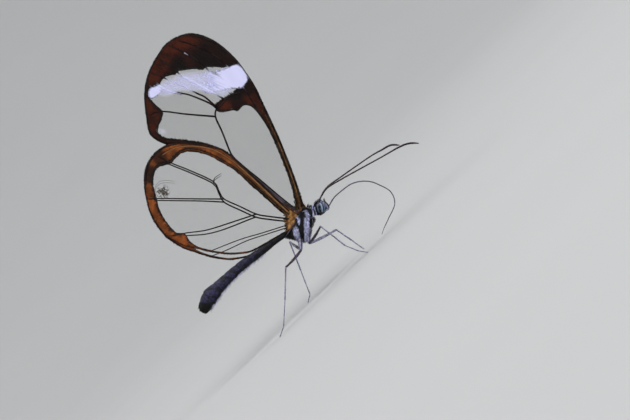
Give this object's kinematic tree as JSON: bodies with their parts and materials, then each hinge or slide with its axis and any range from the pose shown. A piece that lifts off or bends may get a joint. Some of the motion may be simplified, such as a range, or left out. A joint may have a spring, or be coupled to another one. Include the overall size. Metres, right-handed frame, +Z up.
{
  "type": "glasswing butterfly",
  "caption": "Life-size still glasswing butterfly (Greta oto) standing with its clear wings closed over its back, feelers forward and its tongue curved down to the floor.",
  "frame": {"origin": "on the floor, under the middle of the whole animal's box", "axes": "+X from the tail to the head, +Y to the butterfly's own left, +Z up, with the feet on z = 0"},
  "size_m": [0.0379, 0.0134, 0.0401],
  "materials": {
    "scales": "lavender white and black scales",
    "abdomen_scales": "slate-black scales",
    "wing": "clear membrane with rust-brown borders and dark veins",
    "cuticle": "dark brown satin",
    "eye": "glossy blue-black"
  },
  "bodies": {
    "root": {"thorax": "scales", "head": "scales", "abdomen": "abdomen_scales", "eye_left": "eye", "eye_right": "eye", "palp_left": "cuticle", "palp_right": "cuticle", "proboscis": "cuticle", "antenna_left": "cuticle", "antenna_right": "cuticle", "foreleg_left": "cuticle", "foreleg_right": "cuticle", "midleg_left": "cuticle", "midleg_right": "cuticle", "hindleg_left": "cuticle", "hindleg_right": "cuticle", "forewing_left": "wing", "forewing_right": "wing", "hindwing_left": "wing", "hindwing_right": "wing"}
  },
  "joints": []
}
